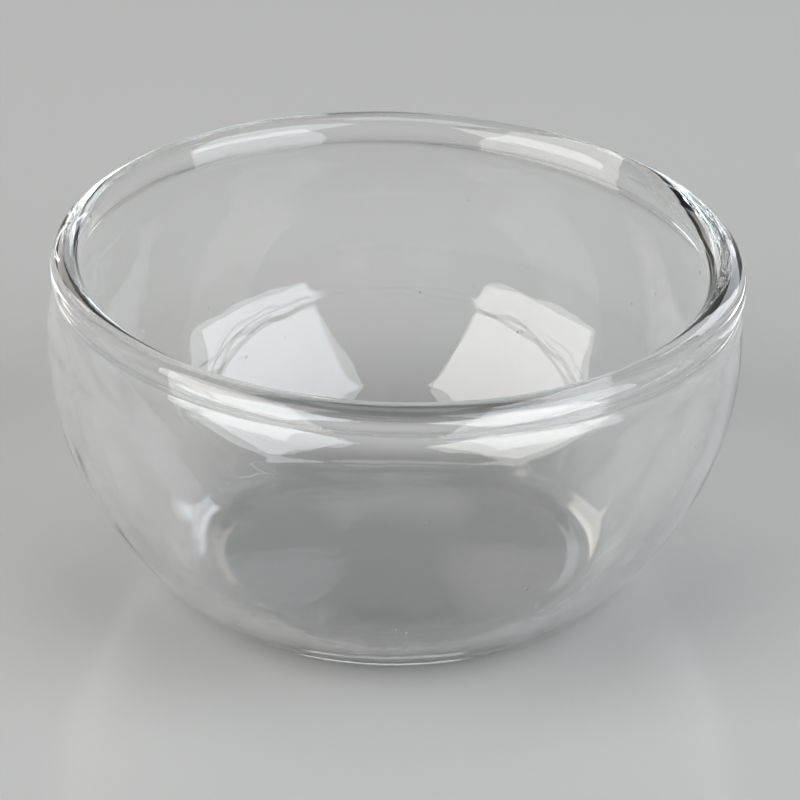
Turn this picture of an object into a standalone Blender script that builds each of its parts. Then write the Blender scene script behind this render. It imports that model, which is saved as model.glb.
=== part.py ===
"""A small laboratory dish: one piece of clear glass with a flat foot, a deep round body and a beaded rim.

Metres, +Z up. The origin is under the middle of the dish, on the surface that it stands on.
The wall is about equally thick all over, as on a blown dish. The rim was melted into a bead by hand,
so it sits a little off centre and isn't quite level, and its bead isn't equally thick all round.
"""

import math

import bmesh
import bpy

MM = 0.001

# Driving dimensions.
BODY_RADIUS = 34.92 * MM
RIM_RADIUS = 34.78 * MM
MEAN_HEIGHT = 36.0 * MM
FOOT_RADIUS = 18.6 * MM
WALL = 1.9 * MM
FLOOR = 1.9 * MM
BEAD_THICKNESS = 3.38 * MM
BEAD_DEPTH = 3.6 * MM

# What the flame leaves: towards +X the rim drops, shifts outwards and thickens.
RIM_DROP = 1.0 * MM
RIM_SHIFT = 0.4 * MM
BEAD_SWELL = 0.48 * MM

# Outside and inside, the body is an ellipse that a flat cuts off below, with a soft corner between the two.
WIDEST_HEIGHT = 27.1 * MM
ELLIPSE_DEPTH = 33.6 * MM
FOOT_EDGE_HEIGHT = 0.9 * MM
FLOOR_RADIUS = 17.2 * MM
FLOOR_EDGE_HEIGHT = 3.4 * MM

# The bead's section is an ellipse down to an angle on both sides. Necks lead from there into the wall.
BEAD_END = math.radians(-32)
SHOULDER_HEIGHT = 28.4 * MM
SHOULDER_PULL = 1.8 * MM
OUTER_PULL = 0.5 * MM
INNER_PULL = 1.3 * MM

# Centres the box around the dish on the origin, because the rim is off centre.
BODY_OFFSET = (BODY_RADIUS - RIM_RADIUS - RIM_SHIFT) / 2

# Resolution of the solid.
SEGMENTS = 72
EDGE_STEPS = 4
SIDE_STEPS = 10
NECK_STEPS = 5
BEAD_STEPS = 12

GLASS_COLOUR = (0.95, 0.97, 0.97, 1.0)
GLASS_ROUGHNESS = 0.02
GLASS_IOR = 1.5
SHARP_ANGLE = math.radians(35)


def clear_scene():
    for obj in list(bpy.data.objects):
        bpy.data.objects.remove(obj, do_unlink=True)


def bezier(corners, steps):
    """Points of a Bezier curve in (radius, height), with both of its ends."""
    degree = len(corners) - 1
    points = []
    for step in range(steps + 1):
        t = step / steps
        weights = [math.comb(degree, i) * t**i * (1 - t) ** (degree - i) for i in range(degree + 1)]
        points.append(tuple(sum(w * c[axis] for w, c in zip(weights, corners)) for axis in (0, 1)))
    return points


def soft_corner(flat_end, top_height, wide, deep):
    """From the end of a flat to the ellipse above it, level with the one and in line with the other."""
    top_radius = wide * math.sqrt(1 - ((WIDEST_HEIGHT - top_height) / deep) ** 2)
    slope = deep**2 * top_radius / (wide**2 * (WIDEST_HEIGHT - top_height))
    corner = (top_radius - (top_height - flat_end[1]) / slope, flat_end[1])
    return bezier([flat_end, corner, (top_radius, top_height)], EDGE_STEPS)


def ellipse_side(low_height, wide, deep):
    """The ellipse above low_height, up to where it is widest."""
    start = math.asin((WIDEST_HEIGHT - low_height) / deep)
    points = []
    for step in range(1, SIDE_STEPS + 1):
        angle = start * (1 - step / SIDE_STEPS)
        points.append((wide * math.cos(angle), WIDEST_HEIGHT - deep * math.sin(angle)))
    return points


def outer_side():
    """The outside, from the edge of the foot's flat face up to the widest height."""
    edge = soft_corner((FOOT_RADIUS, 0.0), FOOT_EDGE_HEIGHT, BODY_RADIUS, ELLIPSE_DEPTH)
    return edge + ellipse_side(FOOT_EDGE_HEIGHT, BODY_RADIUS, ELLIPSE_DEPTH)


def inner_side():
    """The inside, from the edge of the flat floor up to the widest height."""
    wide = BODY_RADIUS - WALL
    deep = ELLIPSE_DEPTH - WALL
    edge = soft_corner((FLOOR_RADIUS, FLOOR), FLOOR_EDGE_HEIGHT, wide, deep)
    return edge + ellipse_side(FLOOR_EDGE_HEIGHT, wide, deep)


def bead_ellipse(azimuth):
    """Centre and half axes of the bead's section at one azimuth, in (radius, height)."""
    lean = math.cos(azimuth)
    half = ((BEAD_THICKNESS + BEAD_SWELL * lean) / 2, BEAD_DEPTH / 2)
    centre = (RIM_RADIUS + RIM_SHIFT * lean - half[0], MEAN_HEIGHT - RIM_DROP * lean - half[1])
    return centre, half


def on_ellipse(centre, half, angle):
    return centre[0] + half[0] * math.cos(angle), centre[1] + half[1] * math.sin(angle)


def bead(azimuth):
    """The bead's section, from under its outside, over the top, to under its inside."""
    centre, half = bead_ellipse(azimuth)
    sweep = math.pi - 2 * BEAD_END
    return [on_ellipse(centre, half, BEAD_END + sweep * step / BEAD_STEPS) for step in range(BEAD_STEPS + 1)]


def neck(azimuth, wall, side, pull):
    """From a wall up to the bead and in line with both. The side is 1 outside the dish and -1 inside it."""
    centre, half = bead_ellipse(azimuth)
    bead_end = on_ellipse(centre, (side * half[0], half[1]), BEAD_END)
    inwards = side * half[0] * math.sin(BEAD_END)
    downwards = -half[1] * math.cos(BEAD_END)
    reach = pull / math.hypot(inwards, downwards)
    below = (bead_end[0] + reach * inwards, bead_end[1] + reach * downwards)
    above = (wall, SHOULDER_HEIGHT + SHOULDER_PULL)
    return bezier([(wall, SHOULDER_HEIGHT), above, below, bead_end], NECK_STEPS)


def outline(azimuth):
    """Half of the cross-section at one azimuth, from the edge of the foot round to the edge of the floor."""
    outer_neck = neck(azimuth, BODY_RADIUS, 1, OUTER_PULL)[:-1]
    inner_neck = neck(azimuth, BODY_RADIUS - WALL, -1, INNER_PULL)[-2::-1]
    return outer_side() + outer_neck + bead(azimuth) + inner_neck + inner_side()[::-1]


def glass_material():
    material = bpy.data.materials.new("clear_glass")
    material.use_nodes = True
    shader = material.node_tree.nodes["Principled BSDF"]
    shader.inputs["Base Color"].default_value = GLASS_COLOUR
    shader.inputs["Metallic"].default_value = 0.0
    shader.inputs["Roughness"].default_value = GLASS_ROUGHNESS
    shader.inputs["Transmission Weight"].default_value = 1.0
    shader.inputs["IOR"].default_value = GLASS_IOR
    return material


def dish():
    """The whole dish, made azimuth by azimuth, because its rim changes round it."""
    mesh = bmesh.new()
    columns = []
    for segment in range(SEGMENTS):
        azimuth = 2 * math.pi * segment / SEGMENTS
        across, along = math.cos(azimuth), math.sin(azimuth)
        points = [(BODY_OFFSET + r * across, r * along, z) for r, z in outline(azimuth)]
        columns.append([mesh.verts.new(point) for point in points])
    foot_middle = mesh.verts.new((BODY_OFFSET, 0, 0))
    floor_middle = mesh.verts.new((BODY_OFFSET, 0, FLOOR))
    for column, following in zip(columns, columns[1:] + columns[:1]):
        mesh.faces.new((foot_middle, following[0], column[0]))
        for low in range(len(column) - 1):
            mesh.faces.new((column[low], following[low], following[low + 1], column[low + 1]))
        mesh.faces.new((column[-1], following[-1], floor_middle))
    data = bpy.data.meshes.new("dish")
    mesh.to_mesh(data)
    mesh.free()
    data.shade_smooth()
    data.set_sharp_from_angle(angle=SHARP_ANGLE)
    data.materials.append(glass_material())
    obj = bpy.data.objects.new("dish", data)
    bpy.context.scene.collection.objects.link(obj)


clear_scene()
dish()
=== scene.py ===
"""The looks of the small laboratory dish: clear glass, worked at the flame, so nothing on it is even."""

import math

import bmesh
import bpy
import numpy as np
from mathutils import Matrix, Vector


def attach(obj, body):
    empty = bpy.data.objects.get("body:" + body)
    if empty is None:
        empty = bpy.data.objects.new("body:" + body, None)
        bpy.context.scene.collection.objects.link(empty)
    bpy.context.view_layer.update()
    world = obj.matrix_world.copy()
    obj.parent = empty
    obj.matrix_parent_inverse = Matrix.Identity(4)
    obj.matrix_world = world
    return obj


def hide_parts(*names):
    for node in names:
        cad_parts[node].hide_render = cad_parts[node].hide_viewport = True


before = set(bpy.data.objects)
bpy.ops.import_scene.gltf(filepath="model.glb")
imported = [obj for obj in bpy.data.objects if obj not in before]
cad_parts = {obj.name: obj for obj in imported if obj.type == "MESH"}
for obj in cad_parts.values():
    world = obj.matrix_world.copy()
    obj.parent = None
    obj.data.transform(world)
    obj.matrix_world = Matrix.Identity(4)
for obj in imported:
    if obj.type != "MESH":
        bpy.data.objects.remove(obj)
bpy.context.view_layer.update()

MM = 0.001

# The dish's driving dimensions, as the CAD model has them.
BODY_RADIUS = 34.92 * MM
RIM_RADIUS = 34.78 * MM
MEAN_HEIGHT = 36.0 * MM
FOOT_RADIUS = 18.6 * MM
WALL = 1.9 * MM
FLOOR = 1.9 * MM
BEAD_THICKNESS = 3.38 * MM
BEAD_DEPTH = 3.6 * MM
RIM_DROP = 1.0 * MM
RIM_SHIFT = 0.4 * MM
BEAD_SWELL = 0.48 * MM
WIDEST_HEIGHT = 27.1 * MM
ELLIPSE_DEPTH = 33.6 * MM
FOOT_EDGE_HEIGHT = 0.9 * MM
FLOOR_RADIUS = 17.2 * MM
FLOOR_EDGE_HEIGHT = 3.4 * MM
BEAD_END = math.radians(-32)
SHOULDER_HEIGHT = 28.4 * MM
SHOULDER_PULL = 1.8 * MM
OUTER_PULL = 0.5 * MM
INNER_PULL = 1.3 * MM
BODY_OFFSET = (BODY_RADIUS - RIM_RADIUS - RIM_SHIFT) / 2

# Resolution of the visible glass.
SEGMENTS = 360
FOOT_STEPS = 8
FLOOR_STEPS = 18
EDGE_STEPS = 10
SIDE_STEPS = 44
NECK_STEPS = 12
BEAD_STEPS = 40

# Ripples that blowing leaves in the glass: waves from long to short, each with the same slope.
# They fade out at the foot and towards the middle of the floor. Outside they are stronger low down.
RIPPLE_RANDOM = 31
RIPPLES = 30
RIPPLE_LONGEST = 50 * MM
RIPPLE_SHORTEST = 4 * MM
RIPPLE_SLOPE = 0.007
RIPPLE_TILT = math.radians(40)
RIPPLE_FREE_FOOT = 5 * MM
OUTSIDE_STRENGTH = 1.2
STRONG_BELOW = 10 * MM
WEAK_ABOVE = 24 * MM

# Seeds, which are small bubbles. A higher power makes more of them small.
SEED_RANDOM = 7
SEEDS = 100
SEED_HEIGHT = (5 * MM, 28 * MM)
SEED_RADIUS = (0.04 * MM, 0.15 * MM)
SEED_POWER = 3
SEED_STRETCH = (1.0, 1.8)
SEED_DETAIL = 2

# Airlines, which are bubbles that were drawn out along the bead. The reach is how far they lie from the
# middle of the bead's section, in shares of its half axes.
AIRLINE_RANDOM = 12
AIRLINES = 26
AIRLINE_REACH = (0.2, 0.8)
AIRLINE_RADIUS = (0.025 * MM, 0.07 * MM)
AIRLINE_LENGTH = (2.0 * MM, 9.0 * MM)
AIRLINE_STEPS = 14
AIRLINE_SIDES = 8
AIRLINE_SPREAD = math.radians(24)
AIRLINE_TAPER = 0.6
AIRLINE_TIP = 0.04

# The big airline: azimuth, place in the bead's section (in the same shares), radius and length.
BIG_AIRLINE = (math.radians(7), (0.30, 0.35), 0.2 * MM, 5.5 * MM)

# Glass: its tint, the fine lines drawn along the bead, its uneven skin and its smudges.
GLASS_IOR = 1.5
TINT = (0.84, 0.94, 0.93, 1.0)
TINT_DENSITY = 3.0
DRAWN_LINE_WIDTH = 0.3 * MM
DRAWN_LINES_PER_RADIAN = 5.0
DRAWN_LINE_HEIGHT = 0.007 * MM
DRAWN_LINES_FROM = 31.5 * MM
DRAWN_LINES_FULL = 33.0 * MM
SKIN_GRAIN = 2.5 * MM
SKIN_HEIGHT = 0.003 * MM
SMUDGE_SIZE = 14 * MM
SMUDGES_FROM = 0.52
SMUDGES_FULL = 0.75
SMUDGE_ROUGHNESS = 0.09
CLEAN_ROUGHNESS = 0.02

# Camera. Its lens and sensor are in millimetres.
CAMERA_DISTANCE = 0.56
CAMERA_ELEVATION = math.radians(27.5)
CAMERA_AIM = Vector((0.38 * MM, 0.0, 19.2 * MM))
CAMERA_LENS = 249.0
CAMERA_SENSOR = 36.0
CAMERA_CLIP = (0.01, 20.0)

# Table: pale and nearly matt.
FLOOR_COLOUR = (0.41, 0.41, 0.405, 1.0)
FLOOR_ROUGHNESS = 0.2
FLOOR_SHEEN = 0.035
FLOOR_GRAZING_POWER = 12
FLOOR_HALF_SIZE = 3.0
FLOOR_GAP = 0.05 * MM

# Room: pale low down and dark overhead. Each pair is the sine of the elevation and the grey there.
ROOM = ((0.0, 0.6), (0.15, 0.7), (0.5, 0.65), (0.7, 0.1), (1.0, 0.02))

# Soft lights: name, centre, size, power in watts and colour.
LIGHTS_AIM = (0.0, 0.0, 0.02)
LIGHTS = (
    ("softbox_left", (-0.62, -0.42, 0.52), (0.8, 0.8), 13.0, (1.0, 0.98, 0.95)),
    ("softbox_right", (0.62, -0.42, 0.52), (0.8, 0.8), 13.0, (0.90, 0.96, 1.0)),
    ("overhead", (0.0, 0.0, 1.1), (0.5, 0.5), 3.0, (1.0, 1.0, 1.0)),
    ("back_left", (-0.41, 0.82, 0.42), (0.38, 0.45), 2.4, (1.0, 0.95, 0.87)),
    ("back_right", (0.41, 0.82, 0.42), (0.38, 0.45), 2.4, (0.88, 0.95, 1.0)),
)

# Rendering.
EXPOSURE = -0.7
BOUNCES = 32
GLOSSY_BOUNCES = 16


def bezier(corners, steps):
    """Points of a Bezier curve in (radius, height), with both of its ends."""
    degree = len(corners) - 1
    t = np.linspace(0, 1, steps + 1)[:, None]
    weights = [math.comb(degree, i) * t**i * (1 - t) ** (degree - i) for i in range(degree + 1)]
    return sum(weight * np.array(corner) for weight, corner in zip(weights, corners))


def soft_corner(flat_end, top_height, wide, deep):
    """From the end of a flat to the ellipse above it, level with the one and in line with the other."""
    top_radius = wide * math.sqrt(1 - ((WIDEST_HEIGHT - top_height) / deep) ** 2)
    slope = deep**2 * top_radius / (wide**2 * (WIDEST_HEIGHT - top_height))
    corner = (top_radius - (top_height - flat_end[1]) / slope, flat_end[1])
    return bezier([flat_end, corner, (top_radius, top_height)], EDGE_STEPS)


def ellipse_side(low_height, wide, deep):
    """The ellipse above low_height, up to where it is widest."""
    start = math.asin((WIDEST_HEIGHT - low_height) / deep)
    angle = start * (1 - np.arange(1, SIDE_STEPS + 1) / SIDE_STEPS)
    return np.stack([wide * np.cos(angle), WIDEST_HEIGHT - deep * np.sin(angle)], 1)


def side(flat_radius, flat_height, flat_steps, edge_height, wide, deep):
    """From beside the middle of a flat, round its soft corner and up to the widest height."""
    flat = bezier([(0.0, flat_height), (flat_radius, flat_height)], flat_steps)[1:-1]
    edge = soft_corner((flat_radius, flat_height), edge_height, wide, deep)
    return np.vstack([flat, edge, ellipse_side(edge_height, wide, deep)])


def outer_side():
    return side(FOOT_RADIUS, 0.0, FOOT_STEPS, FOOT_EDGE_HEIGHT, BODY_RADIUS, ELLIPSE_DEPTH)


def inner_side():
    wide = BODY_RADIUS - WALL
    deep = ELLIPSE_DEPTH - WALL
    return side(FLOOR_RADIUS, FLOOR, FLOOR_STEPS, FLOOR_EDGE_HEIGHT, wide, deep)


def bead_ellipse(azimuth):
    """Centre and half axes of the bead's section at one azimuth, in (radius, height)."""
    lean = math.cos(azimuth)
    half = np.array([BEAD_THICKNESS + BEAD_SWELL * lean, BEAD_DEPTH]) / 2
    outer_top = np.array([RIM_RADIUS + RIM_SHIFT * lean, MEAN_HEIGHT - RIM_DROP * lean])
    return outer_top - half, half


def bead(azimuth):
    """The bead's section, from under its outside, over the top, to under its inside."""
    centre, half = bead_ellipse(azimuth)
    angle = np.linspace(BEAD_END, math.pi - BEAD_END, BEAD_STEPS + 1)
    return centre + half * np.stack([np.cos(angle), np.sin(angle)], 1)


def neck(azimuth, wall, side_sign, pull):
    """From a wall up to the bead and in line with both. The sign is 1 outside the dish and -1 inside."""
    centre, half = bead_ellipse(azimuth)
    bead_end = centre + half * np.array([side_sign * math.cos(BEAD_END), math.sin(BEAD_END)])
    downwards = half * np.array([side_sign * math.sin(BEAD_END), -math.cos(BEAD_END)])
    below = bead_end + pull * downwards / np.linalg.norm(downwards)
    above = (wall, SHOULDER_HEIGHT + SHOULDER_PULL)
    return bezier([(wall, SHOULDER_HEIGHT), above, below, bead_end], NECK_STEPS)


def outline(azimuth):
    """The section from beside the middle of the foot, round the rim, to beside the middle of the floor."""
    outer_neck = neck(azimuth, BODY_RADIUS, 1, OUTER_PULL)[:-1]
    inner_neck = neck(azimuth, BODY_RADIUS - WALL, -1, INNER_PULL)[-2::-1]
    return np.vstack([outer_side(), outer_neck, bead(azimuth), inner_neck, inner_side()[::-1]])


def smooth_step(low, high, value):
    """0 up to low, 1 from high on, and smooth between."""
    t = np.clip((value - low) / (high - low), 0, 1)
    return t * t * (3 - 2 * t)


def ripple(azimuths, along):
    """Height of the ripples for each azimuth (rows) and each distance along the section (columns)."""
    rng = np.random.default_rng(RIPPLE_RANDOM)
    total = np.zeros((len(azimuths), len(along)))
    for wavelength in np.geomspace(RIPPLE_LONGEST, RIPPLE_SHORTEST, RIPPLES):
        tilt = rng.uniform(-RIPPLE_TILT, RIPPLE_TILT)
        phase = rng.uniform(0, 2 * math.pi)
        turns = round(2 * math.pi * BODY_RADIUS * math.cos(tilt) / wavelength)
        climb = 2 * math.pi * math.sin(tilt) / wavelength
        amplitude = RIPPLE_SLOPE * wavelength / (2 * math.pi) * math.sqrt(2 / RIPPLES)
        total += amplitude * np.cos(turns * azimuths[:, None] + climb * along[None, :] + phase)
    return total


def turned_grid():
    """Points of the whole surface, one row of them for each azimuth, from the foot round to the floor."""
    azimuths = 2 * math.pi * np.arange(SEGMENTS) / SEGMENTS
    sections = np.array([outline(azimuth) for azimuth in azimuths])
    steps = np.gradient(sections, axis=1)
    normals = np.stack([steps[..., 1], -steps[..., 0]], 2)
    normals /= np.linalg.norm(normals, axis=2, keepdims=True)
    mean = sections.mean(0)
    along = np.concatenate([[0], np.cumsum(np.linalg.norm(np.diff(mean, axis=0), axis=1))])
    inside = along > along[np.argmax(mean[:, 1])]
    weaker = smooth_step(STRONG_BELOW, WEAK_ABOVE, mean[:, 1])
    outside_strength = OUTSIDE_STRENGTH + (1 - OUTSIDE_STRENGTH) * weaker
    outside_strength *= smooth_step(0, RIPPLE_FREE_FOOT, mean[:, 1])
    strength = np.where(inside, 1.0, outside_strength) * smooth_step(0, FLOOR_RADIUS, mean[:, 0])
    sections = sections + normals * (ripple(azimuths, along) * strength)[..., None]
    cosines = np.cos(azimuths)[:, None]
    sines = np.sin(azimuths)[:, None]
    radius = sections[..., 0]
    height = sections[..., 1]
    return np.stack([BODY_OFFSET + radius * cosines, radius * sines, height], 2)


def add_shell(mesh, grid):
    """Turns the grid of points into one closed skin."""
    columns = [[mesh.verts.new(point) for point in column] for column in grid]
    foot_middle = mesh.verts.new((BODY_OFFSET, 0, 0))
    floor_middle = mesh.verts.new((BODY_OFFSET, 0, FLOOR))
    for column, following in zip(columns, columns[1:] + columns[:1]):
        mesh.faces.new((foot_middle, following[0], column[0]))
        for low in range(len(column) - 1):
            mesh.faces.new((column[low], following[low], following[low + 1], column[low + 1]))
        mesh.faces.new((column[-1], following[-1], floor_middle))


def add_bubble(mesh, centre, half_axes):
    """A hollow in the glass: a small closed skin whose faces point into it."""
    place = Matrix.Translation(centre) @ Matrix.Diagonal((*half_axes, 1))
    made = bmesh.ops.create_icosphere(mesh, subdivisions=SEED_DETAIL, radius=1, matrix=place)
    faces = {face for vert in made["verts"] for face in vert.link_faces}
    bmesh.ops.reverse_faces(mesh, faces=list(faces))


def wall_middle(azimuth, height):
    """A point halfway through the wall."""
    drop = (WIDEST_HEIGHT - height) / (ELLIPSE_DEPTH - WALL / 2)
    radius = (BODY_RADIUS - WALL / 2) * math.sqrt(1 - drop**2)
    return Vector((BODY_OFFSET + radius * math.cos(azimuth), radius * math.sin(azimuth), height))


def add_seeds(mesh):
    """Small bubbles all over the wall, slightly drawn out upwards."""
    rng = np.random.default_rng(SEED_RANDOM)
    for _ in range(SEEDS):
        azimuth = rng.uniform(0, 2 * math.pi)
        height = rng.uniform(*SEED_HEIGHT)
        radius = SEED_RADIUS[0] + (SEED_RADIUS[1] - SEED_RADIUS[0]) * rng.random() ** SEED_POWER
        stretch = rng.uniform(*SEED_STRETCH)
        add_bubble(mesh, wall_middle(azimuth, height), (radius, radius, radius * stretch))


def add_airline(mesh, azimuth, offset, radius, length):
    """A bubble drawn out along the bead: a thin tube that tapers almost to a point at both ends."""
    rings = []
    for step in range(AIRLINE_STEPS + 1):
        t = step / AIRLINE_STEPS
        around = azimuth + (t - 0.5) * length / RIM_RADIUS
        centre, half = bead_ellipse(around)
        thick = radius * (math.sin(math.pi * t) ** AIRLINE_TAPER + AIRLINE_TIP)
        ring = []
        for side_step in range(AIRLINE_SIDES):
            turn = 2 * math.pi * side_step / AIRLINE_SIDES
            r, z = centre + half * offset + thick * np.array([math.cos(turn), math.sin(turn)])
            ring.append(mesh.verts.new((BODY_OFFSET + r * math.cos(around), r * math.sin(around), z)))
        rings.append(ring)
    for ring, following in zip(rings, rings[1:]):
        for i in range(AIRLINE_SIDES):
            j = (i + 1) % AIRLINE_SIDES
            mesh.faces.new((ring[i], ring[j], following[j], following[i]))
    mesh.faces.new(rings[0][::-1])
    mesh.faces.new(rings[-1])


def add_airlines(mesh):
    """Half of them lie near -X, where the rim was worked longest, half anywhere, and a big one near +X."""
    rng = np.random.default_rng(AIRLINE_RANDOM)
    for number in range(AIRLINES):
        azimuth = rng.normal(math.pi, AIRLINE_SPREAD)
        if number % 2 == 0:
            azimuth = rng.uniform(0, 2 * math.pi)
        reach = rng.uniform(*AIRLINE_REACH)
        turn = rng.uniform(0, 2 * math.pi)
        radius = rng.uniform(*AIRLINE_RADIUS)
        length = rng.uniform(*AIRLINE_LENGTH)
        add_airline(mesh, azimuth, (reach * math.cos(turn), reach * math.sin(turn)), radius, length)
    add_airline(mesh, *BIG_AIRLINE)


class Nodes:
    """Short names for making and linking a material's nodes."""

    def __init__(self, material):
        self.tree = material.node_tree

    def make(self, kind, inputs=(), **settings):
        """A new node with these inputs, each a value or the output of another node."""
        node = self.tree.nodes.new(kind)
        for name, value in settings.items():
            setattr(node, name, value)
        for name, value in dict(inputs).items():
            self.put(value, node.inputs[name])
        return node

    def put(self, value, socket):
        """Links another node's output to the socket, or sets a plain value on it."""
        if isinstance(value, bpy.types.NodeSocket):
            self.tree.links.new(value, socket)
        else:
            socket.default_value = value

    def maths(self, operation, first, second=0.0):
        return self.make("ShaderNodeMath", {0: first, 1: second}, operation=operation).outputs[0]

    def spread(self, value, low, high, to_low, to_high):
        """Goes smoothly from to_low to to_high while the value goes from low to high."""
        inputs = {"Value": value, "From Min": low, "From Max": high, "To Min": to_low, "To Max": to_high}
        return self.make("ShaderNodeMapRange", inputs, interpolation_type="SMOOTHSTEP").outputs["Result"]


def drawn_lines(nodes, place):
    """Fine lines that working at the flame draws out along the bead, and only there."""
    parts = nodes.make("ShaderNodeSeparateXYZ", {0: place}).outputs
    x_squared = nodes.maths("MULTIPLY", parts[0], parts[0])
    y_squared = nodes.maths("MULTIPLY", parts[1], parts[1])
    radius = nodes.maths("SQRT", nodes.maths("ADD", x_squared, y_squared))
    turn_x = nodes.maths("MULTIPLY", nodes.maths("DIVIDE", parts[0], radius), DRAWN_LINES_PER_RADIAN)
    turn_y = nodes.maths("MULTIPLY", nodes.maths("DIVIDE", parts[1], radius), DRAWN_LINES_PER_RADIAN)
    across = nodes.maths("DIVIDE", radius, DRAWN_LINE_WIDTH)
    up = nodes.maths("DIVIDE", parts[2], DRAWN_LINE_WIDTH)
    spot = nodes.make("ShaderNodeCombineXYZ", {0: turn_x, 1: turn_y, 2: across}).outputs[0]
    inputs = {"Vector": spot, "W": up, "Scale": 1.0, "Detail": 0.0}
    lines = nodes.make("ShaderNodeTexNoise", inputs, noise_dimensions="4D").outputs["Fac"]
    on_bead = nodes.spread(parts[2], DRAWN_LINES_FROM, DRAWN_LINES_FULL, 0.0, 1.0)
    return nodes.maths("MULTIPLY", lines, on_bead)


def glass_material():
    """Clear glass with a faint tint in its depth, a slightly uneven skin and thin smudges."""
    material = bpy.data.materials.new("clear_glass")
    material.use_nodes = True
    nodes = Nodes(material)
    shader = material.node_tree.nodes["Principled BSDF"]
    place = nodes.make("ShaderNodeTexCoord").outputs["Object"]
    nodes.put((1.0, 1.0, 1.0, 1.0), shader.inputs["Base Color"])
    nodes.put(1.0, shader.inputs["Transmission Weight"])
    nodes.put(GLASS_IOR, shader.inputs["IOR"])
    smudge = nodes.make("ShaderNodeTexNoise", {"Vector": place, "Scale": 1 / SMUDGE_SIZE, "Detail": 1.0})
    ends = (SMUDGES_FROM, SMUDGES_FULL, CLEAN_ROUGHNESS, SMUDGE_ROUGHNESS)
    nodes.put(nodes.spread(smudge.outputs["Fac"], *ends), shader.inputs["Roughness"])
    grain = nodes.make("ShaderNodeTexNoise", {"Vector": place, "Scale": 1 / SKIN_GRAIN, "Detail": 0.0})
    inputs = {"Height": grain.outputs["Fac"], "Distance": SKIN_HEIGHT, "Strength": 1.0}
    skin = nodes.make("ShaderNodeBump", inputs)
    inputs = {"Height": drawn_lines(nodes, place), "Distance": DRAWN_LINE_HEIGHT, "Strength": 1.0}
    inputs["Normal"] = skin.outputs["Normal"]
    lines = nodes.make("ShaderNodeBump", inputs)
    nodes.put(lines.outputs["Normal"], shader.inputs["Normal"])
    depth = nodes.make("ShaderNodeVolumeAbsorption", {"Color": TINT, "Density": TINT_DENSITY})
    nodes.put(depth.outputs["Volume"], material.node_tree.nodes["Material Output"].inputs["Volume"])
    return material


def glass_dish():
    """The one piece: the skin of the glass with the bubbles in it."""
    mesh = bmesh.new()
    add_shell(mesh, turned_grid())
    add_seeds(mesh)
    add_airlines(mesh)
    data = bpy.data.meshes.new("glass_dish")
    mesh.to_mesh(data)
    mesh.free()
    data.shade_smooth()
    data.materials.append(glass_material())
    obj = bpy.data.objects.new("glass_dish", data)
    bpy.context.scene.collection.objects.link(obj)
    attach(obj, "root")
    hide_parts("dish")


def camera():
    """At the photo's viewing angle."""
    data = bpy.data.cameras.new("camera")
    data.lens = CAMERA_LENS
    data.sensor_width = CAMERA_SENSOR
    data.clip_start, data.clip_end = CAMERA_CLIP
    obj = bpy.data.objects.new("camera", data)
    back = Vector((0, -math.cos(CAMERA_ELEVATION), math.sin(CAMERA_ELEVATION)))
    obj.location = CAMERA_AIM + CAMERA_DISTANCE * back
    obj.rotation_euler = back.to_track_quat("Z", "Y").to_euler()
    bpy.context.scene.collection.objects.link(obj)
    bpy.context.scene.camera = obj


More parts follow.
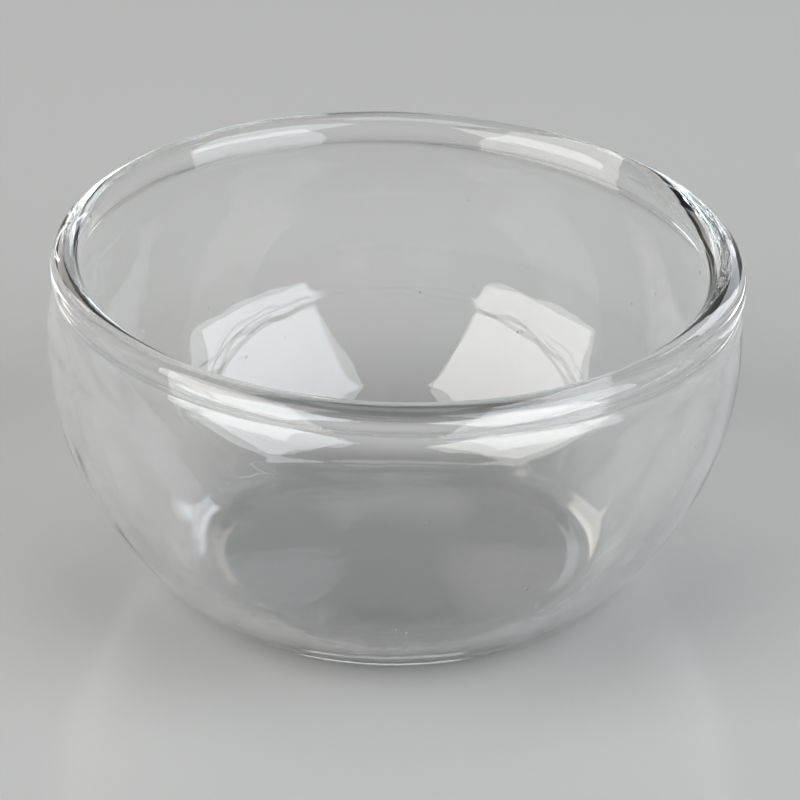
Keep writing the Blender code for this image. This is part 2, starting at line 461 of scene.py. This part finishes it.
def floor_material():
    """Pale and mostly matt. It mirrors a little, and more only where it is seen almost edge on."""
    material = bpy.data.materials.new("floor")
    material.use_nodes = True
    nodes = Nodes(material)
    matt = nodes.make("ShaderNodeBsdfDiffuse", {"Color": FLOOR_COLOUR}).outputs[0]
    mirror = nodes.make("ShaderNodeBsdfGlossy", {"Roughness": FLOOR_ROUGHNESS}).outputs[0]
    edge_on = nodes.make("ShaderNodeLayerWeight").outputs["Facing"]
    grazing = nodes.maths("POWER", edge_on, FLOOR_GRAZING_POWER)
    share = nodes.maths("ADD", nodes.maths("MULTIPLY", grazing, 1 - FLOOR_SHEEN), FLOOR_SHEEN)
    mixed = nodes.make("ShaderNodeMixShader", {0: share, 1: matt, 2: mirror}).outputs[0]
    nodes.put(mixed, material.node_tree.nodes["Material Output"].inputs["Surface"])
    return material


def floor():
    """The table, just under the foot, so that the glass doesn't touch it."""
    mesh = bpy.data.meshes.new("floor")
    far = FLOOR_HALF_SIZE
    mesh.from_pydata([(-far, -far, 0), (far, -far, 0), (far, far, 0), (-far, far, 0)], [], [(0, 1, 2, 3)])
    mesh.materials.append(floor_material())
    obj = bpy.data.objects.new("floor", mesh)
    obj.location.z = -FLOOR_GAP
    bpy.context.scene.collection.objects.link(obj)


def light(name, centre, size, power, colour):
    """A flat soft light that faces LIGHTS_AIM."""
    data = bpy.data.lights.new(name, "AREA")
    data.shape = "RECTANGLE"
    data.size, data.size_y = size
    data.energy = power
    data.color = colour
    obj = bpy.data.objects.new(name, data)
    obj.location = centre
    obj.rotation_euler = (Vector(centre) - Vector(LIGHTS_AIM)).to_track_quat("Z", "Y").to_euler()
    bpy.context.scene.collection.objects.link(obj)


def room():
    """The light of the room, which changes only with the elevation that it comes from."""
    world = bpy.data.worlds.new("room")
    world.use_nodes = True
    nodes = Nodes(world)
    direction = nodes.make("ShaderNodeTexCoord").outputs["Generated"]
    sine = nodes.make("ShaderNodeSeparateXYZ", {0: direction}).outputs["Z"]
    ramp = nodes.make("ShaderNodeValToRGB", {"Fac": sine})
    elements = ramp.color_ramp.elements
    for position, _ in ROOM[1:-1]:
        elements.new(position)
    for element, (position, grey) in zip(elements, ROOM):
        element.position = position
        element.color = (grey, grey, grey, 1.0)
    nodes.put(ramp.outputs["Color"], world.node_tree.nodes["Background"].inputs["Color"])
    bpy.context.scene.world = world


def rendering():
    """Enough bounces for thick glass, and plain display of the light."""
    scene = bpy.context.scene
    scene.cycles.max_bounces = BOUNCES
    scene.cycles.transmission_bounces = BOUNCES
    scene.cycles.glossy_bounces = GLOSSY_BOUNCES
    scene.view_settings.view_transform = "Standard"
    scene.view_settings.exposure = EXPOSURE


glass_dish()
floor()
camera()
for settings in LIGHTS:
    light(*settings)
room()
rendering()
